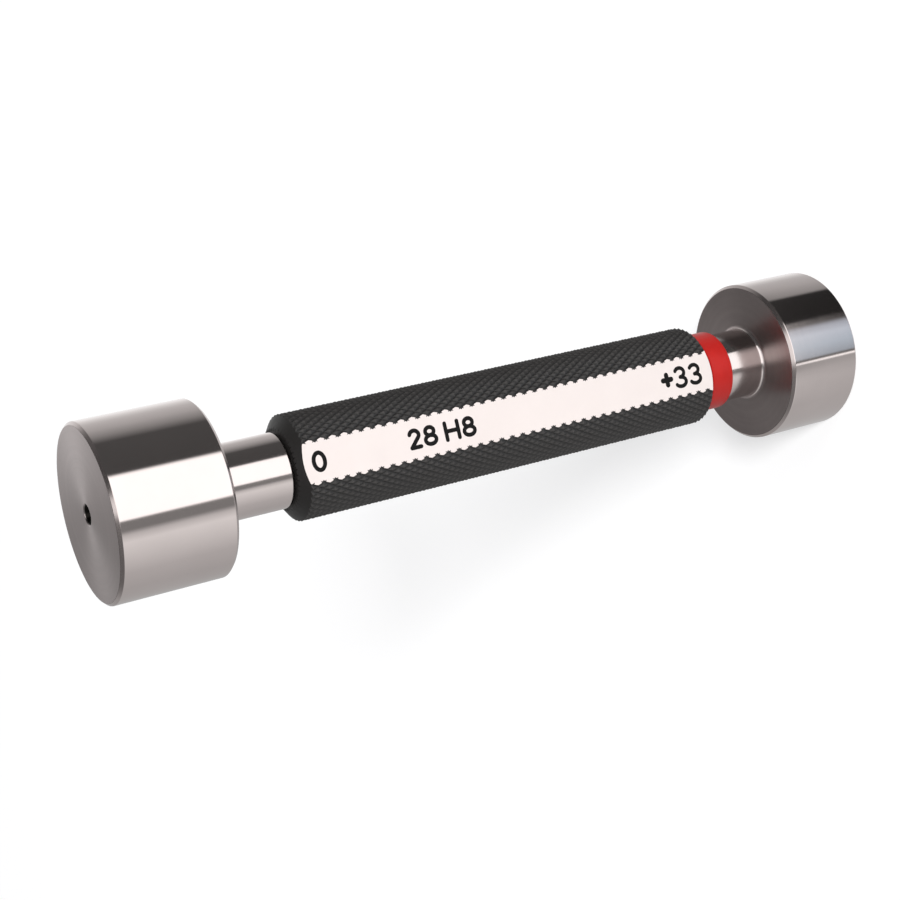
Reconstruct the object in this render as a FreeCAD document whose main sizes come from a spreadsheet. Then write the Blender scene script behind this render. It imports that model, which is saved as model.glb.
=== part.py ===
import FreeCAD, Part
import os
import Sketcher

# Double-ended limit plug gauge for a 28 mm bore: a turned GO member and a shorter turned NO GO member,
# each seated by a slow taper in one end of a knurled handle, and a red ring that marks the NO GO end.
# Millimetres. The gauge stands on its NO GO end: origin at the centre of that end face, +Z towards the
# GO end, and the handle's marking flat faces -Y.

FULL_TURN = 360.0
EDGE_TOLERANCE = 1e-4

doc = FreeCAD.newDocument("LimitPlugGauge")

SIZES = {
    # gauging members
    "go_diameter": 28.0,
    "no_go_excess": 0.033,
    "go_length": 18.3,
    "no_go_length": 14.8,
    "plug_chamfer": 0.5,
    "neck_diameter": 12.2,
    "neck_chamfer": 0.4,
    "root_radius": 0.8,
    "go_neck_length": 12.9,
    "no_go_neck_length": 12.0,
    "shoulder_gap": 0.2,
    # centre holes that the members were ground between
    "centre_diameter": 3.35,
    "centre_cone": 1.52,
    "pilot_diameter": 1.6,
    "pilot_depth": 2.0,
    # taper seats in the handle
    "taper_diameter": 9.0,
    "taper_length": 24.0,
    "taper_ratio": 50.0,
    "taper_clearance": 0.01,
    "seat_runout": 2.0,
    "drift_diameter": 6.0,
    # handle
    "handle_diameter": 17.2,
    "handle_length": 80.0,
    "handle_face_diameter": 13.2,
    "handle_chamfer": 1.5,
    "flat_depth": 0.84,
    "knurl_depth": 0.28,
    "knurl_step": 2.0,
    # marker ring
    "ring_diameter": 13.8,
    "ring_width": 4.4,
    "ring_edge": 0.3,
    "ring_clearance": 0.05,
}

sheet = doc.addObject("Spreadsheet::Sheet", "Sizes")
for row, (alias, value) in enumerate(SIZES.items(), start=1):
    sheet.set(f"A{row}", alias)
    sheet.set(f"B{row}", str(value))
    sheet.setAlias(f"B{row}", alias)
doc.recompute()

# Heights and radii that follow from the sheet
HANDLE_BASE = "(Sizes.no_go_length + Sizes.no_go_neck_length)"
HANDLE_TOP = f"({HANDLE_BASE} + Sizes.handle_length)"
NO_GO_DIAMETER = "(Sizes.go_diameter + Sizes.no_go_excess)"
TAPER_NARROWING = "(Sizes.taper_length / Sizes.taper_ratio)"
SEAT_DEPTH = "(Sizes.taper_length + Sizes.seat_runout)"
SEAT_NARROWING = f"({SEAT_DEPTH} / Sizes.taper_ratio)"
FLAT_HEIGHT = "(Sizes.handle_diameter / 2 - Sizes.flat_depth)"


def number(expression):
    """Value of an expression on the sheet, as a plain number."""
    return float(sheet.evalExpression(expression))


def origin_plane(body, role):
    """The body's own origin plane with this role."""
    return next(feature for feature in body.Origin.OriginFeatures if feature.Role == role)


def outline(body, name, role, corners):
    """Closed polygon sketch on an origin plane, each corner held at (right, up) by two expressions.

    A corner on an axis gives 0 for that distance, and a minus sign in front puts it left of or below it.
    """
    sketch = body.newObject("Sketcher::SketchObject", name)
    sketch.AttachmentSupport = [(origin_plane(body, role), "")]
    sketch.MapMode = "FlatFace"
    places = [FreeCAD.Vector(number(right), number(up), 0) for right, up in corners]
    for place, following in zip(places, places[1:] + places[:1]):
        sketch.addGeometry(Part.LineSegment(place, following), False)
    for line in range(len(places)):
        sketch.addConstraint(Sketcher.Constraint("Coincident", line, 2, (line + 1) % len(places), 1))
    for line, (right, up) in enumerate(corners):
        hold(sketch, "DistanceX", line, right)
        hold(sketch, "DistanceY", line, up)
    return sketch


def hold(sketch, direction, line, expression):
    """Bind one coordinate of a line's start to an expression, measured from the sketch's origin."""
    axis = -2 if direction == "DistanceX" else -1
    value = number(expression)
    if value == 0:
        sketch.addConstraint(Sketcher.Constraint("PointOnObject", line, 1, axis))
    elif value > 0:
        index = sketch.addConstraint(Sketcher.Constraint(direction, -1, 1, line, 1, value))
        sketch.setExpression(f"Constraints[{index}]", expression)
    else:
        index = sketch.addConstraint(Sketcher.Constraint(direction, line, 1, -1, 1, -value))
        sketch.setExpression(f"Constraints[{index}]", f"-({expression})")


def turn(body, kind, name, corners):
    """Revolve a half-section, (radius, height) corners, all round the body's Z axis."""
    sketch = outline(body, f"{name}_section", "XZ_Plane", corners)
    feature = body.newObject(f"PartDesign::{kind}", name)
    feature.Profile = sketch
    feature.ReferenceAxis = (sketch, ["V_Axis"])
    feature.Angle = FULL_TURN
    doc.recompute()
    return feature


def rim(feature, diameter, height):
    """Name of the circular edge of a feature with this diameter at this height."""
    for index, edge in enumerate(feature.Shape.Edges, start=1):
        if not isinstance(edge.Curve, Part.Circle):
            continue
        wide = abs(edge.Curve.Radius - number(diameter) / 2) < EDGE_TOLERANCE
        level = abs(edge.Curve.Center.z - number(height)) < EDGE_TOLERANCE
        if wide and level:
            return f"Edge{index}"
    raise ValueError(f"{feature.Name} has no rim of diameter {diameter} at height {height}")


def round_rims(body, name, feature, rims, radius):
    """Fillet circular edges, each given as (diameter, height)."""
    fillet = body.newObject("PartDesign::Fillet", name)
    fillet.Base = (feature, [rim(feature, diameter, height) for diameter, height in rims])
    fillet.setExpression("Radius", radius)
    doc.recompute()
    return fillet


def require_cut(body, before):
    """Stop if the body's last feature took no material away."""
    if body.Shape.Volume > before - EDGE_TOLERANCE:
        raise ValueError(f"{body.Tip.Name} of {body.Label} cuts nothing")


def new_body(label):
    body = doc.addObject("PartDesign::Body", label)
    body.Label = label
    return body


def centre_hole(body, name, end, inward):
    """Centre hole with a 60 degree mouth in the end face at this height; inward is + or -."""
    before = body.Shape.Volume
    cone = f"({end} {inward} Sizes.centre_cone)"
    bottom = f"({cone} {inward} Sizes.pilot_depth)"
    turn(body, "Groove", name, [
        ("0", end),
        ("Sizes.centre_diameter / 2", end),
        ("Sizes.pilot_diameter / 2", cone),
        ("Sizes.pilot_diameter / 2", bottom),
        ("0", bottom),
    ])
    require_cut(body, before)


def gauging_member(label, diameter, plug_length, neck_length):
    """One turned member, standing on the small end of its taper: taper, neck and gauging plug."""
    body = new_body(label)
    shoulder = "Sizes.taper_length"
    plug_foot = f"({shoulder} + {neck_length} - Sizes.shoulder_gap)"
    plug_end = f"({plug_foot} + {plug_length})"
    turned = turn(body, "Revolution", f"{label}_turning", [
        ("0", "0"),
        (f"(Sizes.taper_diameter - {TAPER_NARROWING}) / 2", "0"),
        ("Sizes.taper_diameter / 2", shoulder),
        ("Sizes.neck_diameter / 2 - Sizes.neck_chamfer", shoulder),
        ("Sizes.neck_diameter / 2", f"{shoulder} + Sizes.neck_chamfer"),
        ("Sizes.neck_diameter / 2", plug_foot),
        (f"{diameter} / 2 - Sizes.plug_chamfer", plug_foot),
        (f"{diameter} / 2", f"{plug_foot} + Sizes.plug_chamfer"),
        (f"{diameter} / 2", f"{plug_end} - Sizes.plug_chamfer"),
        (f"{diameter} / 2 - Sizes.plug_chamfer", plug_end),
        ("0", plug_end),
    ])
    round_rims(body, f"{label}_root", turned, [("Sizes.neck_diameter", plug_foot)], "Sizes.root_radius")
    centre_hole(body, f"{label}_end_centre", plug_end, "-")
    centre_hole(body, f"{label}_taper_centre", "0", "+")
    return body


def go_member():
    body = gauging_member("go_member", "Sizes.go_diameter", "Sizes.go_length", "Sizes.go_neck_length")
    body.setExpression("Placement.Base.z", f"{HANDLE_TOP} + Sizes.shoulder_gap - Sizes.taper_length")
    return body


def no_go_member():
    """The NO GO member points down, its end face in the plane that the gauge stands on."""
    body = gauging_member("no_go_member", NO_GO_DIAMETER, "Sizes.no_go_length", "Sizes.no_go_neck_length")
    upside_down = FreeCAD.Rotation(FreeCAD.Vector(1, 0, 0), FULL_TURN / 2)
    body.Placement = FreeCAD.Placement(FreeCAD.Vector(0, 0, 0), upside_down)
    body.setExpression("Placement.Base.z", f"{HANDLE_BASE} - Sizes.shoulder_gap + Sizes.taper_length")
    return body


def handle():
    """Bar turned with wide end chamfers, bored right through so that a drift can push a member out."""
    body = new_body("handle")
    turn(body, "Revolution", "handle_turning", [
        ("Sizes.handle_face_diameter / 2", "0"),
        ("Sizes.handle_diameter / 2", "Sizes.handle_chamfer"),
        ("Sizes.handle_diameter / 2", "Sizes.handle_length - Sizes.handle_chamfer"),
        ("Sizes.handle_face_diameter / 2", "Sizes.handle_length"),
        ("Sizes.drift_diameter / 2", "Sizes.handle_length"),
        ("Sizes.drift_diameter / 2", "0"),
    ])
    taper_seat(body, "lower_seat", "0", "+")
    taper_seat(body, "upper_seat", "Sizes.handle_length", "-")
    marking_flat(body)
    knurl_notches(body, "right_notches", "")
    knurl_notches(body, "left_notches", "-")
    body.setExpression("Placement.Base.z", HANDLE_BASE)
    return body


def taper_seat(body, name, face, inward):
    """Tapered bore from an end face, deeper than the taper it takes; inward is + or -."""
    before = body.Shape.Volume
    bottom = f"({face} {inward} {SEAT_DEPTH})"
    turn(body, "Groove", name, [
        ("0", face),
        ("Sizes.taper_diameter / 2 + Sizes.taper_clearance", face),
        (f"(Sizes.taper_diameter - {SEAT_NARROWING}) / 2 + Sizes.taper_clearance", bottom),
        ("0", bottom),
    ])
    require_cut(body, before)


def marking_flat(body):
    """Flat milled along the whole handle, on its -Y side, for the size marks."""
    before = body.Shape.Volume
    outside = "(-Sizes.handle_diameter)"
    sketch = outline(body, "marking_flat_section", "XY_Plane", [
        ("-Sizes.handle_diameter / 2", f"-{FLAT_HEIGHT}"),
        ("-Sizes.handle_diameter / 2", outside),
        ("Sizes.handle_diameter / 2", outside),
        ("Sizes.handle_diameter / 2", f"-{FLAT_HEIGHT}"),
    ])
    pocket = body.newObject("PartDesign::Pocket", "marking_flat")
    pocket.Profile = sketch
    pocket.Type = "ThroughAll"
    pocket.Reversed = True
    doc.recompute()
    require_cut(body, before)


def knurl_notches(body, name, side):
    """Row of V notches that the knurl's grooves leave along one edge of the flat; side is - or nothing.

    A notch starts where the grooves' bottom comes up through the flat and runs out of the handle's side.
    """
    before = body.Shape.Volume
    groove_radius = "(Sizes.handle_diameter / 2 - Sizes.knurl_depth)"
    apex = f"sqrt({groove_radius} ^ 2 - {FLAT_HEIGHT} ^ 2)"
    mouth = f"sqrt((Sizes.handle_diameter / 2) ^ 2 - ({FLAT_HEIGHT} - Sizes.knurl_depth) ^ 2)"
    sketch = outline(body, f"{name}_section", "XZ_Plane", [
        (f"{side}{apex}", "Sizes.handle_chamfer + Sizes.knurl_step / 2"),
        (f"{side}{mouth}", "Sizes.handle_chamfer"),
        (f"{side}{mouth}", "Sizes.handle_chamfer + Sizes.knurl_step"),
    ])
    sketch.setExpression("AttachmentOffset.Base.z", FLAT_HEIGHT)
    notch = body.newObject("PartDesign::Pocket", f"{name}_first")
    notch.Profile = sketch
    notch.setExpression("Length", "Sizes.knurl_depth")
    doc.recompute()
    require_cut(body, before)
    row = body.newObject("PartDesign::LinearPattern", name)
    row.Originals = [notch]
    row.Direction = (sketch, ["V_Axis"])
    row.Mode = "Spacing"
    row.setExpression("Offset", "Sizes.knurl_step")
    knurled_length = "(Sizes.handle_length - 2 * Sizes.handle_chamfer)"
    row.setExpression("Occurrences", f"floor({knurled_length} / Sizes.knurl_step)")
    body.Tip = row
    doc.recompute()


def marker_ring():
    """Plastic ring slipped over the NO GO neck, up against the handle's face."""
    body = new_body("marker_ring")
    bore = "(Sizes.neck_diameter / 2 + Sizes.ring_clearance)"
    turned = turn(body, "Revolution", "ring_turning", [
        (bore, "0"),
        ("Sizes.ring_diameter / 2", "0"),
        ("Sizes.ring_diameter / 2", "Sizes.ring_width"),
        (bore, "Sizes.ring_width"),
    ])
    outer_rims = [("Sizes.ring_diameter", "0"), ("Sizes.ring_diameter", "Sizes.ring_width")]
    round_rims(body, "ring_edges", turned, outer_rims, "Sizes.ring_edge")
    body.setExpression("Placement.Base.z", f"{HANDLE_BASE} - Sizes.ring_width")
    return body


sub_parts = [no_go_member(), marker_ring(), handle(), go_member()]
doc.recompute()

for item in doc.Objects:
    if "Invalid" in item.State or "Error" in item.State:
        raise RuntimeError(f"{item.Name} failed: {item.State}")
for sub_part in sub_parts:
    if sub_part.Shape.isNull() or not sub_part.Shape.isValid():
        raise RuntimeError(f"{sub_part.Label} has no valid shape")

os.makedirs("parts", exist_ok=True)
for sub_part in sub_parts:
    sub_part.Shape.exportStep(f"parts/{sub_part.Label}.step")
    box = sub_part.Shape.BoundBox
    print(f"{sub_part.Label}: {sub_part.Shape.Volume / 1000:.2f} cm3, z {box.ZMin:.2f} to {box.ZMax:.2f}")
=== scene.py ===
import math

import bmesh
import bpy
from mathutils import Matrix, Vector


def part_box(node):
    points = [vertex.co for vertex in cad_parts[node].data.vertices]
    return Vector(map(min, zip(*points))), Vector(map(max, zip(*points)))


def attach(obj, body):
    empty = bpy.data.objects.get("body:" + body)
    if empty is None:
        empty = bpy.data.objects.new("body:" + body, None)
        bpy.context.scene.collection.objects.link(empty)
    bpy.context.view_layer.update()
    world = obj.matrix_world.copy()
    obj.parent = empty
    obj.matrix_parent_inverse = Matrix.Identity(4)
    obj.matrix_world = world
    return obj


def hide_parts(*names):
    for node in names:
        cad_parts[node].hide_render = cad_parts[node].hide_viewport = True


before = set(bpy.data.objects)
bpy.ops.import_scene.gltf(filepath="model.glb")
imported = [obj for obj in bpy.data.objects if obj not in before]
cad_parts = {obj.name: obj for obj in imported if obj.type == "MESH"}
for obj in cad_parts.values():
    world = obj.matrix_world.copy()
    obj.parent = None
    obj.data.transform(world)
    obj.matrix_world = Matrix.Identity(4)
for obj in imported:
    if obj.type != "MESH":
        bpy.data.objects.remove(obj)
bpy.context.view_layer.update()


# ---------------------------------------------------------------------------------------------------------
# GO member: one piece of hardened steel, turned, then ground and lapped on its plug. The neck and the end
# faces keep fine turning marks, and a slow taper holds it in the handle. It was ground between centres.

scene = bpy.context.scene
MM = 0.001

go_low, go_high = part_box("go_member")
go_diameter = (go_high.x - go_low.x) / MM
go_top = go_high.z / MM
go_taper_end = go_low.z / MM

go_plug_length = 18.3
plug_chamfer = 0.5
neck_diameter = 12.2
neck_chamfer = 0.4
root_radius = 0.8
taper_diameter = 9.0
taper_length = 24.0
taper_ratio = 50.0
centre_diameter = 3.35
centre_cone = 1.52
pilot_diameter = 1.6
pilot_depth = 2.0
edge_break = 0.06


def arc(centre, half_width, half_height, start, end, count):
    """Points on a circle or an ellipse, from one angle in degrees to another."""
    angles = [math.radians(start + (end - start) * step / count) for step in range(count + 1)]
    return [(centre[0] + half_width * math.cos(a), centre[1] + half_height * math.sin(a)) for a in angles]


def eased(outline, break_size):
    """Break each sharp corner of a half-section, with a point on each side that keeps the shading flat."""
    steps = 3
    shoulder = 1.4
    shortest_side = 3 * break_size
    nearly_straight = math.radians(25)
    result = [outline[0]]
    for before, corner, after in zip(outline, outline[1:], outline[2:]):
        here = Vector(corner)
        back = Vector(before) - here
        ahead = Vector(after) - here
        room = min(back.length, ahead.length)
        if back.angle(-ahead) < nearly_straight or room < shortest_side:
            result.append(corner)
            continue
        back.normalize()
        ahead.normalize()
        result.append(tuple(here + back * break_size * shoulder))
        for step in range(steps + 1):
            t = step / steps
            bend = back * (1 - t) ** 2 + ahead * t ** 2
            result.append(tuple(here + bend * break_size))
        result.append(tuple(here + ahead * break_size * shoulder))
    result.append(outline[-1])
    return result


def turned_mesh(name, outline, segments=256):
    """Revolve a half-section of (radius, height) points in millimetres about Z into a closed mesh."""
    mesh = bmesh.new()
    rings = []
    for radius, height in outline:
        if radius == 0:
            rings.append([mesh.verts.new((0, 0, height * MM))])
            continue
        turns = [2 * math.pi * step / segments for step in range(segments)]
        ring = [(radius * MM * math.cos(a), radius * MM * math.sin(a), height * MM) for a in turns]
        rings.append([mesh.verts.new(place) for place in ring])
    closing = rings[1:] if len(rings[0]) == 1 else rings[1:] + rings[:1]
    for lower, upper in zip(rings, closing):
        for step in range(segments):
            corners = [lower[step % len(lower)], lower[(step + 1) % len(lower)],
                       upper[(step + 1) % len(upper)], upper[step % len(upper)]]
            mesh.faces.new(list(dict.fromkeys(corners)))
    bmesh.ops.recalc_face_normals(mesh, faces=mesh.faces)
    data = bpy.data.meshes.new(name)
    mesh.to_mesh(data)
    mesh.free()
    data.shade_smooth()
    data.set_sharp_from_angle(angle=math.radians(32))
    return data


def as_piece(name, data, node, material=None):
    """Put a mesh in the scene as the piece that stands for a CAD node; it may hold its materials already."""
    piece = bpy.data.objects.new(name, data)
    scene.collection.objects.link(piece)
    if material is not None:
        data.materials.append(material)
    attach(piece, "root")
    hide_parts(node)
    return piece


def member_outline(diameter, plug_length, total_length):
    """Half-section of a gauging member, from the small end of its taper up to its end face."""
    taper_foot = (taper_diameter - taper_length / taper_ratio) / 2
    plug_foot = total_length - plug_length
    plug = diameter / 2
    neck = neck_diameter / 2
    centre = centre_diameter / 2
    pilot = pilot_diameter / 2
    root_centre = (neck + root_radius, plug_foot - root_radius)
    root = arc(root_centre, root_radius, root_radius, 180, 90, 8)
    return [
        (0, centre_cone + pilot_depth), (pilot, centre_cone + pilot_depth), (pilot, centre_cone), (centre, 0),
        (taper_foot, 0), (taper_diameter / 2, taper_length),
        (neck - neck_chamfer, taper_length), (neck, taper_length + neck_chamfer),
        *root,
        (plug - plug_chamfer, plug_foot), (plug, plug_foot + plug_chamfer),
        (plug, total_length - plug_chamfer), (plug - plug_chamfer, total_length),
        (centre, total_length), (pilot, total_length - centre_cone),
        (pilot, total_length - centre_cone - pilot_depth), (0, total_length - centre_cone - pilot_depth),
    ]


class Wire:
    """One output of a material's nodes; arithmetic on it adds Math nodes."""

    def __init__(self, tree, socket=None):
        self.tree = tree
        self.socket = socket

    def node(self, kind, settings=None, inputs=None, output=0):
        """Add any node, its settings first, then its sockets' values or links; gives one of its outputs."""
        added = self.tree.nodes.new(kind)
        for name, value in (settings or {}).items():
            if name == "stops":
                set_stops(added.color_ramp, value)
            else:
                setattr(added, name, value)
        for name, value in (inputs or {}).items():
            if isinstance(value, Wire):
                value.feed(added.inputs[name])
            else:
                added.inputs[name].default_value = value
        return Wire(self.tree, added.outputs[output])

    def feed(self, socket):
        """Link this output to an input of another node."""
        self.tree.links.new(self.socket, socket)

    def math(self, operation, *values):
        """Add a Math node."""
        return self.node("ShaderNodeMath", {"operation": operation}, dict(enumerate(values)))

    def __add__(self, other):
        return self.math("ADD", self, other)

    def __sub__(self, other):
        return self.math("SUBTRACT", self, other)

    def __rsub__(self, other):
        return self.math("SUBTRACT", other, self)

    def __mul__(self, other):
        return self.math("MULTIPLY", self, other)

    def __truediv__(self, other):
        return self.math("DIVIDE", self, other)

    def __pow__(self, other):
        return self.math("POWER", self, other)

    __radd__ = __add__
    __rmul__ = __mul__


def set_stops(ramp, stops):
    """Give a colour ramp its stops, each a position and a grey level or a colour."""
    while len(ramp.elements) > 1:
        ramp.elements.remove(ramp.elements[-1])
    for index, (position, colour) in enumerate(stops):
        stop = ramp.elements[0] if index == 0 else ramp.elements.new(position)
        stop.position = position
        levels = (colour, colour, colour) if isinstance(colour, (int, float)) else colour
        stop.color = (*levels, 1)


def new_material(name):
    """A material with a Principled shader; returns the material, its tree and the shader."""
    material = bpy.data.materials.new(name)
    material.use_nodes = True
    tree = material.node_tree
    return material, tree, tree.nodes["Principled BSDF"]


def step_up(value, start, end):
    """0 below start, 1 above end, smooth between."""
    return value.node("ShaderNodeMapRange", {"interpolation_type": "SMOOTHSTEP"},
                      {0: value, 1: start, 2: end})


def mixed(factor, first, second):
    """Mix two colours by a factor."""
    return factor.node("ShaderNodeMix", {"data_type": "RGBA"}, {0: factor, 6: first, 7: second}, 2)


def place_on_piece(tree):
    """Object coordinates, in metres."""
    return Wire(tree).node("ShaderNodeTexCoord", output="Object")


def split(vector):
    """X, Y and Z of a vector."""
    first = vector.node("ShaderNodeSeparateXYZ", inputs={0: vector})
    return [Wire(vector.tree, socket) for socket in first.socket.node.outputs]


def joined(x, y, z):
    """A vector from three values, at least one of them a Wire."""
    tree = next(value.tree for value in (x, y, z) if isinstance(value, Wire))
    return Wire(tree).node("ShaderNodeCombineXYZ", inputs={0: x, 1: y, 2: z})


def noise(vector, scale, detail=3.0):
    """Noise value from 0 to 1."""
    return vector.node("ShaderNodeTexNoise", inputs={
        "Vector": vector, "Scale": scale, "Detail": detail, "Roughness": 0.6})


def bump(height, distance):
    """A normal from a height that runs from 0 to 1 over the distance in metres."""
    return height.node("ShaderNodeBump", inputs={"Height": height, "Distance": distance, "Strength": 1.0})


def gauge_steel():
    """Bright hardened steel: fine lapping lines round the cylinders and turning marks on the end faces. The
    end faces are coloured darker than the sides as painted shade, and the centre holes near black as painted
    shade.
    """
    material, tree, shader = new_material("gauge_steel")
    place = place_on_piece(tree)
    x, y, z = split(place)
    radius = (x * x + y * y) ** 0.5
    normal = Wire(tree).node("ShaderNodeNewGeometry", output="Normal")
    upward = split(normal)[2]
    end_face = step_up(upward.math("ABSOLUTE", upward), 0.6, 0.8)
    round_marks = noise(joined(x * 30, y * 30, z * 9000), 1.0)
    face_marks = noise(joined(x * 25, y * 25, radius * 7000), 1.0)
    marks = round_marks * (1 - end_face) + face_marks * end_face
    haze = noise(place, 90.0, 4.0)
    rings = noise(joined(x * 4, y * 4, radius * 900), 1.0)
    side_tint = mixed(haze, (0.60, 0.54, 0.525, 1), (0.68, 0.612, 0.595, 1))
    # Painted shade: the end faces get a darker copy of the steel's colour than the sides, varied by turning
    # rings and haze.
    painted_shade_face_tint = mixed(rings * 0.5 + haze * 0.5, (0.27, 0.232, 0.226, 1), (0.52, 0.450, 0.442, 1))
    hole_rim = centre_diameter / 2
    # Painted shade: the centre hole is coloured near black and made rougher.
    painted_shade_hole = 1 - step_up(radius, (hole_rim - 0.125) * MM, (hole_rim + 0.025) * MM)
    tint = mixed(painted_shade_hole, mixed(end_face, side_tint, painted_shade_face_tint), (0.012, 0.011, 0.010, 1))
    tint.feed(shader.inputs["Base Color"])
    plug_wall = go_diameter / 2
    lapped = step_up(radius, (plug_wall - 1.5) * MM, (plug_wall - 0.5) * MM) * (1 - end_face)
    rough = 0.10 + 0.03 * haze + 0.04 * marks + 0.18 * end_face - 0.05 * lapped + 0.2 * painted_shade_hole
    rough.feed(shader.inputs["Roughness"])
    bump(marks, 0.0000015).feed(shader.inputs["Normal"])
    shader.inputs["Metallic"].default_value = 1.0
    shader.inputs["Anisotropic"].default_value = 0.6
    shader.inputs["Anisotropic Rotation"].default_value = 0.25
    return material


steel = gauge_steel()
go_outline = member_outline(go_diameter, go_plug_length, go_top - go_taper_end)
go_outline = [(radius, height + go_taper_end) for radius, height in eased(go_outline, edge_break)]
go_mesh = turned_mesh("go_plug_and_neck", go_outline)
as_piece("go_plug_and_neck", go_mesh, "go_member", steel)


# ---------------------------------------------------------------------------------------------------------
# NO GO member: the same steel and the same work, with a shorter plug that is 33 micrometres larger. It
# points down, and the gauge stands on its end face.

no_go_low, no_go_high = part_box("no_go_member")
no_go_diameter = (no_go_high.x - no_go_low.x) / MM
no_go_taper_end = no_go_high.z / MM
no_go_plug_length = 14.8

no_go_outline = member_outline(no_go_diameter, no_go_plug_length, no_go_taper_end)
no_go_outline = [(radius, no_go_taper_end - height) for radius, height in eased(no_go_outline, edge_break)]
no_go_mesh = turned_mesh("no_go_plug_and_neck", no_go_outline)
as_piece("no_go_plug_and_neck", no_go_mesh, "no_go_member", steel)


# ---------------------------------------------------------------------------------------------------------
# Handle: an aluminium bar turned with wide end chamfers, diamond knurled and blackened, then milled flat
# along one side, which cuts the knurl into a row of teeth and leaves bare metal. The size marks are engraved
# in the flat and filled with black paint.

handle_low, handle_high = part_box("handle")
handle_radius = (handle_high.x - handle_low.x) / 2 / MM
handle_bottom = handle_low.z / MM
handle_top = handle_high.z / MM
flat_height = -handle_low.y / MM

handle_face_radius = 6.6
handle_chamfer = 1.5
drift_radius = 3.0
seat_runout = 2.0
seat_clearance = 0.01
knurl_pitch = 1.0
knurl_angle = math.radians(30)
knurl_depth = 0.28
knurl_land = 0.1


def knurled_bar(radius, bottom, top):
    """Closed bar with a diamond knurl: crossing grooves of both hands leave a blunt point in each cell.

    One column of crossings lies on the flat's centre line, so both its edges are cut into the same teeth.
    """
    around = round(2 * math.pi * radius * math.cos(knurl_angle) / knurl_pitch)
    rise = knurl_pitch / math.sin(knurl_angle) / 2
    rows_below = 1.5
    spare_rows = 2
    rows = math.ceil((top - bottom) / rise) + spare_rows
    mesh = bmesh.new()

    def at(column, row, out):
        turn = 2 * math.pi * column / around - math.pi / 2
        return Vector((out * math.cos(turn), out * math.sin(turn), bottom + (row - rows_below) * rise)) * MM

    grooves = [[mesh.verts.new(at(step + row % 2 / 2, row, radius - knurl_depth)) for step in range(around)]
               for row in range(rows + 1)]
    for row in range(1, rows):
        for step in range(around):
            left = step
            right = (step + 1) % around
            over = right if row % 2 else left
            cell = [grooves[row][left], grooves[row - 1][over], grooves[row][right], grooves[row + 1][over]]
            middle = step + row % 2 / 2 + 0.5
            reach = knurl_land / 2
            land = [at(middle - reach, row, radius), at(middle, row - knurl_land, radius),
                    at(middle + reach, row, radius), at(middle, row + knurl_land, radius)]
            land = [mesh.verts.new(place) for place in land]
            mesh.faces.new(land)
            for side in range(4):
                following = (side + 1) % 4
                mesh.faces.new([cell[side], cell[following], land[following], land[side]])
    for end, inner, height in ((0, 1, bottom - 2 * rise), (rows, rows - 1, top + rise)):
        hub = mesh.verts.new((0, 0, height * MM))
        rim = [edge for edge in mesh.edges if edge.is_boundary
               and all(vertex in grooves[end] or vertex in grooves[inner] for vertex in edge.verts)]
        for edge in rim:
            mesh.faces.new([*edge.verts, hub])
    bmesh.ops.recalc_face_normals(mesh, faces=mesh.faces)
    data = bpy.data.meshes.new("knurled_bar")
    mesh.to_mesh(data)
    mesh.free()
    return data


def prism(outer, inner, low, high):
    """Closed prism between two depths below the flat, from an outer loop and maybe a hole, (along, across)."""
    mesh = bmesh.new()
    loops = [outer] if inner is None else [outer, inner]
    ends = []
    for depth in (low, high):
        ends.append([[mesh.verts.new(on_flat(along, across, depth)) for along, across in loop]
                     for loop in loops])
    for below, above in zip(*ends):
        for step in range(len(below)):
            following = (step + 1) % len(below)
            mesh.faces.new([below[step], below[following], above[following], above[step]])
    for end in ends:
        if inner is None:
            mesh.faces.new(end[0])
            continue
        for step in range(len(outer)):
            following = (step + 1) % len(outer)
            mesh.faces.new([end[0][step], end[0][following], end[1][following], end[1][step]])
    bmesh.ops.recalc_face_normals(mesh, faces=mesh.faces)
    data = bpy.data.meshes.new("prism")
    mesh.to_mesh(data)
    mesh.free()
    return data


def on_flat(along, across, depth):
    """A point by its distance from the handle's top end, its place across the flat and its depth."""
    return Vector((across, -flat_height + depth, handle_top - along)) * MM


def cut(base, tool, operation):
    """Boolean of two meshes; the cut faces take the tool's material."""
    target = bpy.data.objects.new("cut_target", base)
    cutter = bpy.data.objects.new("cut_tool", tool)
    for item in (target, cutter):
        scene.collection.objects.link(item)
    modifier = target.modifiers.new("cut", "BOOLEAN")
    modifier.operation = operation
    modifier.solver = "EXACT"
    modifier.material_mode = "TRANSFER"
    modifier.object = cutter
    result = bpy.data.meshes.new_from_object(target.evaluated_get(bpy.context.evaluated_depsgraph_get()))
    for item in (target, cutter):
        bpy.data.objects.remove(item)
    return result


def black_finish(name, wear_and_highlight):
    """Blackened aluminium; the tips of the knurl are coloured lighter than its grooves, partly as rubbed wear
    and partly as painted highlight on the tips and painted shade in the grooves.
    """
    material, tree, shader = new_material(name)
    place = place_on_piece(tree)
    x, y = split(place)[:2]
    radius = (x * x + y * y) ** 0.5
    grain = noise(place, 900.0, 4.0)
    patches = noise(place, 60.0)
    tips = step_up(radius, (handle_radius - knurl_depth) * MM, handle_radius * MM)
    # Lighter at the knurl's tips, darker in its grooves: partly wear, partly painted highlight on the tips and
    # painted shade in the grooves.
    tip_wear_and_highlight = tips * (0.55 + 0.45 * patches) * wear_and_highlight
    colour = mixed(tip_wear_and_highlight, (0.010, 0.0092, 0.0088, 1), (0.034, 0.0308, 0.0295, 1))
    colour.feed(shader.inputs["Base Color"])
    rough = 0.42 + 0.2 * grain
    rough.feed(shader.inputs["Roughness"])
    bump(grain, 0.00001).feed(shader.inputs["Normal"])
    return material


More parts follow.
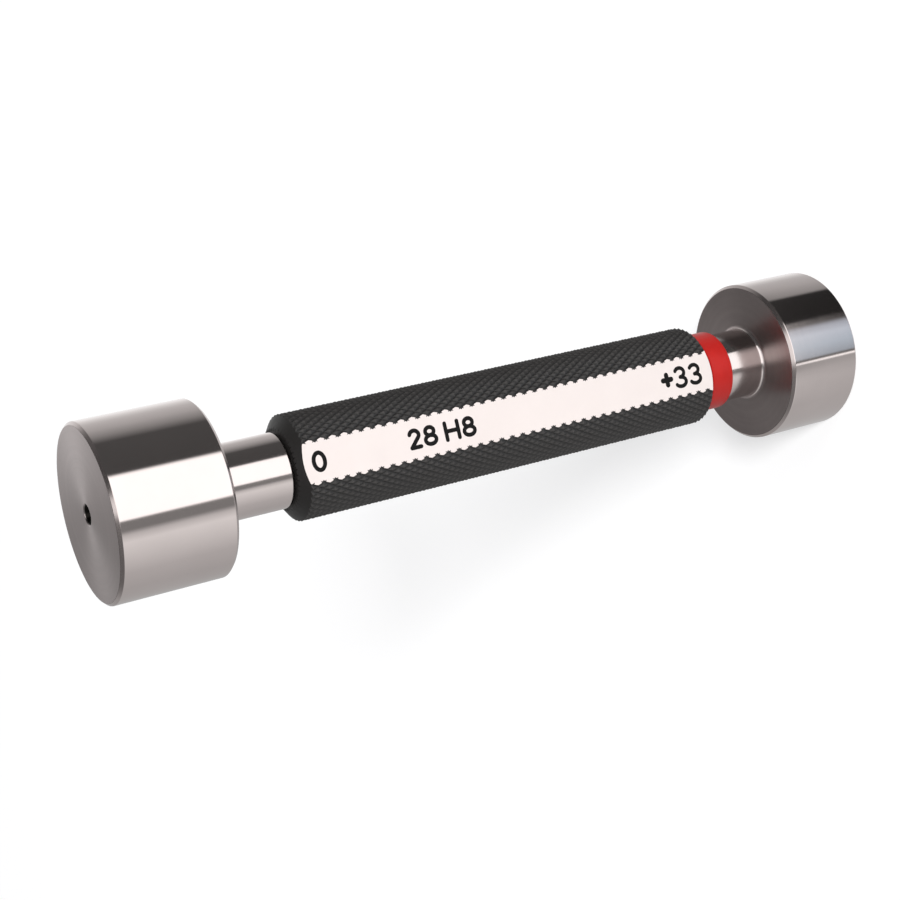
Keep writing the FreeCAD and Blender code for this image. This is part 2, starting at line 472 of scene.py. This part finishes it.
def bare_flat_finish():
    """Bare milled aluminium, pale and satin, with faint cutter lines across it."""
    material, tree, shader = new_material("bare_flat")
    place = place_on_piece(tree)
    x, y, z = split(place)
    lines = noise(joined(x * 120, y * 120, z * 5000), 1.0)
    cloud = noise(place, 160.0, 4.0)
    colour = mixed(cloud, (0.64, 0.575, 0.552, 1), (0.69, 0.625, 0.60, 1))
    colour.feed(shader.inputs["Base Color"])
    rough = 0.36 + 0.1 * lines
    rough.feed(shader.inputs["Roughness"])
    bump(lines, 0.000002).feed(shader.inputs["Normal"])
    shader.inputs["Metallic"].default_value = 0.2
    return material


def mark_paint_finish():
    """Matt black filling of the engraved marks."""
    material, tree, shader = new_material("mark_paint")
    grain = noise(place_on_piece(tree), 2500.0)
    colour = mixed(grain, (0.003, 0.003, 0.003, 1), (0.010, 0.0095, 0.0095, 1))
    colour.feed(shader.inputs["Base Color"])
    rough = 0.6 + 0.25 * grain
    rough.feed(shader.inputs["Roughness"])
    shader.inputs["Specular IOR Level"].default_value = 0.15
    return material


knurl_black = black_finish("knurl_black", 1.0)
plain_black = black_finish("plain_black", 0.25)
bare_flat = bare_flat_finish()
mark_paint = mark_paint_finish()

# The turned envelope holds the chamfers, the taper seats and the drift bore. The knurled bar is cut to it.
handle_middle = (handle_bottom + handle_top) / 2
past_knurl = 0.5
chamfer_run = (handle_radius - handle_face_radius) / handle_chamfer
seat_depth = taper_length + seat_runout
seat_mouth = taper_diameter / 2 + seat_clearance
seat_foot = seat_mouth - seat_depth / taper_ratio / 2
beyond = past_knurl / chamfer_run
envelope_outline = [
    (handle_face_radius, handle_bottom),
    (handle_radius + past_knurl, handle_bottom + handle_chamfer + beyond),
    (handle_radius + past_knurl, handle_top - handle_chamfer - beyond),
    (handle_face_radius, handle_top),
    (seat_mouth, handle_top), (seat_foot, handle_top - seat_depth), (drift_radius, handle_top - seat_depth),
    (drift_radius, handle_bottom + seat_depth), (seat_foot, handle_bottom + seat_depth),
    (seat_mouth, handle_bottom),
]
envelope = turned_mesh("envelope", envelope_outline, segments=160)
envelope.materials.append(plain_black)

# The milled flat runs the whole length of the handle, and the mill runs out past both ends.
run_out = 5
mill_end = handle_top - handle_bottom + run_out
wide = 2 * handle_radius
mill = prism([(-run_out, -wide), (mill_end, -wide), (mill_end, wide), (-run_out, wide)], None, 0, -wide)
mill.materials.append(bare_flat)
envelope = cut(envelope, mill, "DIFFERENCE")

# Where the knurl's crossings meet the flat they leave a row of pointed black notches along both its edges.
notch_step = knurl_pitch / math.sin(knurl_angle)
notch_tip = 2.92
notch_mouth = 3.75
notch_depth = 0.08
first_notch = 3.5
notch_count = 38
notch_overrun = 0.15
above_flat = -1
for side in (-1, 1):
    teeth = [(first_notch - notch_step / 2, side * notch_mouth)]
    for place in (first_notch + notch_step * step for step in range(notch_count)):
        teeth += [(place, side * notch_tip), (place + notch_step / 2, side * notch_mouth)]
    past_edge = side * (notch_mouth + notch_overrun)
    teeth += [(teeth[-1][0], past_edge), (teeth[0][0], past_edge)]
    saw = prism(teeth, None, notch_depth, above_flat)
    saw.materials.append(plain_black)
    envelope = cut(envelope, saw, "DIFFERENCE")

# Size marks: 0 beside the GO end, the nominal size with its fit, the upper deviation beside the NO GO end.
mark_depth = 0.08
stroke_width = 0.68
plus_width = 0.9
half_figure = 1.34
round_end = 8


def stroke(path, width=stroke_width):
    """Outline of an open engraved stroke: the path widened to both sides, with round ends."""
    half = width / 2
    points = [Vector(point) for point in path]
    left, right = [], []
    for index, point in enumerate(points):
        before = points[max(index - 1, 0)]
        after = points[min(index + 1, len(points) - 1)]
        along = (after - before).normalized()
        side = Vector((-along.y, along.x)) * half
        left.append(point + side)
        right.append(point - side)
    end_turn = math.atan2(*reversed(points[-1] - points[-2]))
    start_turn = math.atan2(*reversed(points[0] - points[1]))
    caps = []
    for middle, turn in ((points[-1], end_turn), (points[0], start_turn)):
        angles = [turn + math.pi / 2 - math.pi * step / round_end for step in range(1, round_end)]
        caps.append([middle + Vector((math.cos(a), math.sin(a))) * half for a in angles])
    return [tuple(point) for point in left + caps[0] + right[::-1] + caps[1]]


def glyph(character):
    """A figure's strokes and rings, each an outer loop and maybe an inner one, about its own middle."""
    half = stroke_width / 2

    def ring(centre, half_width, half_height):
        outer = arc(centre, half_width + half, half_height + half, 0, 360, 40)[:-1]
        inner = arc(centre, half_width - half, half_height - half, 0, 360, 40)[:-1]
        return (outer, inner)

    if character == "0":
        return [ring((0, 0), 0.92, half_figure)]
    if character == "8":
        return [ring((0, 0.7), 0.76, 0.64), ring((0, -0.64), 0.96, 0.7)]
    if character == "2":
        bow = arc((0, 0.6), 0.82, 0.74, 165, -25, 20)
        foot = (-0.8, -half_figure)
        return [(stroke(bow + [foot]), None), (stroke([foot, (0.86, -half_figure)]), None)]
    if character == "3":
        upper = arc((0, 0.79), 0.94, 0.79, 150, -90, 22)
        lower = arc((0, -0.79), 1.08, 0.79, 90, -150, 22)
        return [(stroke(upper), None), (stroke(lower), None)]
    if character == "H":
        post = 1.12
        posts = [[(side, -half_figure), (side, half_figure)] for side in (-post, post)]
        return [(stroke(path), None) for path in (*posts, [(-post, 0), (post, 0)])]
    arm = 0.85
    bars = ([(-arm, 0), (arm, 0)], [(0, -arm), (0, arm)])
    return [(stroke(path, plus_width), None) for path in bars]


# Where the middle of each figure lies, from the handle's GO end.
marks = {"0": [3.5], "2": [20.2], "8": [23.0, 30.1], "H": [27.0], "+": [69.6], "3": [72.4, 75.5]}
for character, places in marks.items():
    for place in places:
        for outer, inner in glyph(character):
            loops = [None if loop is None else [(place + u, v) for u, v in loop] for loop in (outer, inner)]
            tool = prism(loops[0], loops[1], mark_depth, above_flat)
            tool.materials.append(mark_paint)
            envelope = cut(envelope, tool, "DIFFERENCE")

bar = knurled_bar(handle_radius, handle_bottom, handle_top)
bar.materials.append(knurl_black)
handle_mesh = cut(bar, envelope, "INTERSECT")
handle_mesh.set_sharp_from_angle(angle=math.radians(20))
for face in handle_mesh.polygons:
    face.use_smooth = handle_mesh.materials[face.material_index] == plain_black
as_piece("knurled_handle", handle_mesh, "handle")


# ---------------------------------------------------------------------------------------------------------
# Marker ring: a moulded red plastic ring with softly rounded edges, pushed over the NO GO neck up against
# the handle. It tells the two ends apart at a glance.

ring_low, ring_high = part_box("marker_ring")
ring_radius = (ring_high.x - ring_low.x) / 2 / MM
ring_bottom = ring_low.z / MM
ring_top = ring_high.z / MM
ring_clearance = 0.05
ring_bore = neck_diameter / 2 + ring_clearance
ring_edge = 0.3


def red_plastic():
    """Red plastic with a soft sheen and a slight unevenness of colour."""
    material, tree, shader = new_material("red_plastic")
    place = place_on_piece(tree)
    cloud = noise(place, 350.0, 4.0)
    colour = mixed(cloud, (0.33, 0.006, 0.004, 1), (0.45, 0.012, 0.009, 1))
    colour.feed(shader.inputs["Base Color"])
    rough = 0.34 + 0.14 * cloud
    rough.feed(shader.inputs["Roughness"])
    bump(noise(place, 1800.0), 0.000008).feed(shader.inputs["Normal"])
    shader.inputs["Specular IOR Level"].default_value = 0.3
    return material


edge_centre = ring_radius - ring_edge
ring_outline = [
    (ring_bore, ring_bottom),
    *arc((edge_centre, ring_bottom + ring_edge), ring_edge, ring_edge, -90, 0, 8),
    *arc((edge_centre, ring_top - ring_edge), ring_edge, ring_edge, 0, 90, 8),
    (ring_bore, ring_top),
]
ring_mesh = turned_mesh("red_marker_ring", ring_outline, segments=192)
as_piece("red_marker_ring", ring_mesh, "marker_ring", red_plastic())


# ---------------------------------------------------------------------------------------------------------
# Studio: a plain pale floor, a broad main light, two soft lamps, and a surrounding room that the metal
# mirrors: a tall white panel in front, a dark screen to its right and pale walls further round.

floor_mesh = bpy.data.meshes.new("floor")
reach = 3.0
floor_corners = [(-reach, -reach, 0), (reach, -reach, 0), (reach, reach, 0), (-reach, reach, 0)]
floor_mesh.from_pydata(floor_corners, [], [(0, 1, 2, 3)])
floor = bpy.data.objects.new("floor", floor_mesh)
scene.collection.objects.link(floor)
floor.visible_glossy = False
floor_material, floor_tree, floor_shader = new_material("pale_floor")
floor_shader.inputs["Base Color"].default_value = (0.88, 0.88, 0.88, 1)
floor_shader.inputs["Roughness"].default_value = 0.9
floor_shader.inputs["Specular IOR Level"].default_value = 0.0
seen = Wire(floor_tree).node("ShaderNodeLightPath", output="Is Camera Ray")
paint = Wire(floor_tree, floor_shader.outputs[0])
glow = Wire(floor_tree).node("ShaderNodeEmission", inputs={"Strength": 1.6})
lit_paint = glow.node("ShaderNodeMixShader", inputs={0: seen * 0.3, 1: paint, 2: glow})
lit_paint.feed(floor_tree.nodes["Material Output"].inputs["Surface"])
floor_mesh.materials.append(floor_material)

world = bpy.data.worlds.new("studio")
scene.world = world
world.use_nodes = True
world.cycles.sampling_method = "NONE"
sky = world.node_tree
toward = split(Wire(sky).node("ShaderNodeTexCoord", output="Generated"))
# The turn of a mirrored direction about the gauge: 0.5 is straight in front, at -Y, and it grows towards +X.
turn = toward[0].math("ARCTAN2", toward[0], 0 - toward[1]) / (2 * math.pi) + 0.5
low_band = Wire(sky).node("ShaderNodeValToRGB", {"stops": [
    (0.0, 0.55), (0.26, 0.58), (0.36, 0.64), (0.40, 0.60), (0.434, 0.52), (0.437, 1.6), (0.442, 1.6),
    (0.445, 0.16), (0.451, 0.20), (0.456, (0.44, 0.52, 0.60)), (0.50, (0.60, 0.73, 0.85)),
    (0.545, (0.72, 0.84, 0.97)), (0.575, (0.50, 0.57, 0.66)), (0.592, 0.08), (0.60, 0.022), (0.735, 0.03),
    (0.748, 0.40), (0.81, 0.56), (0.87, 0.64), (0.93, 0.98)]}, {0: turn})
high_band = Wire(sky).node("ShaderNodeValToRGB", {"stops": [
    (0.0, 0.48), (0.18, 0.53), (0.26, 0.62), (0.33, 0.84), (0.38, 1.0), (0.405, 0.72), (0.42, 0.28),
    (0.452, 0.28), (0.456, 1.75), (0.604, 1.75), (0.614, 0.085), (0.745, 0.095), (0.78, 0.34), (0.82, 0.55),
    (0.87, 0.70), (0.93, 1.05)]}, {0: turn})
upper_band = Wire(sky).node("ShaderNodeValToRGB", {"stops": [
    (0.0, 0.20), (0.25, 0.22), (0.42, 0.30), (0.456, 1.5), (0.57, 1.5), (0.61, 0.10), (0.75, 0.10),
    (0.85, 0.18), (1.0, 0.20)]}, {0: turn})
height = toward[2]
room = mixed(step_up(height, -0.640, -0.595), low_band, high_band)
room = mixed(step_up(height, 0.25, 0.6), room, upper_band)
to_camera = Wire(sky).node("ShaderNodeLightPath", output="Is Camera Ray")
to_metal = Wire(sky).node("ShaderNodeLightPath", output="Is Glossy Ray")
plain = mixed(to_camera, (0.36, 0.36, 0.37, 1), (1.0, 1.0, 1.0, 1))
shown = mixed(to_metal, plain, room)
shown.feed(sky.nodes["Background"].inputs["Color"])


def soft_lamp(name, place, size, power):
    """Square area lamp aimed at the middle of the gauge, seen by matt surfaces only."""
    light = bpy.data.lights.new(name, "AREA")
    light.size = size
    light.energy = power
    lamp = bpy.data.objects.new(name, light)
    lamp.location = place
    aim = Vector((0, 0, handle_middle * MM)) - lamp.location
    lamp.rotation_euler = aim.to_track_quat("-Z", "Y").to_euler()
    lamp.visible_glossy = False
    scene.collection.objects.link(lamp)


soft_lamp("side_lamp", (0.45, -0.35, 0.55), 0.4, 1.2)
soft_lamp("fill_lamp", (-0.5, -0.5, 0.4), 0.5, 0.5)

# The main light is broad and low, from in front and a little from +X, so the shadow falls behind the gauge.
main_light = bpy.data.lights.new("main_light", "SUN")
main_light.energy = 2.9
main_light.angle = math.radians(14)
main_lamp = bpy.data.objects.new("main_lamp", main_light)
main_lamp.rotation_euler = Vector((-0.18, 1.02, -0.60)).to_track_quat("-Z", "Y").to_euler()
main_lamp.visible_glossy = False
scene.collection.objects.link(main_lamp)

camera_data = bpy.data.cameras.new("camera")
camera_data.lens = 67.0
camera_data.clip_start = 0.01
camera = bpy.data.objects.new("camera", camera_data)
camera.location = (0.00268, -0.24378, 0.2037)
view_line = Vector((-0.00315, -0.00008, 0.07696)) - camera.location
upright = view_line.to_track_quat("-Z", "Y").to_matrix().to_4x4()
camera_roll = math.radians(-103.47)
camera.rotation_euler = (upright @ Matrix.Rotation(camera_roll, 4, "Z")).to_euler()
scene.collection.objects.link(camera)
scene.camera = camera

scene.view_settings.view_transform = "Standard"
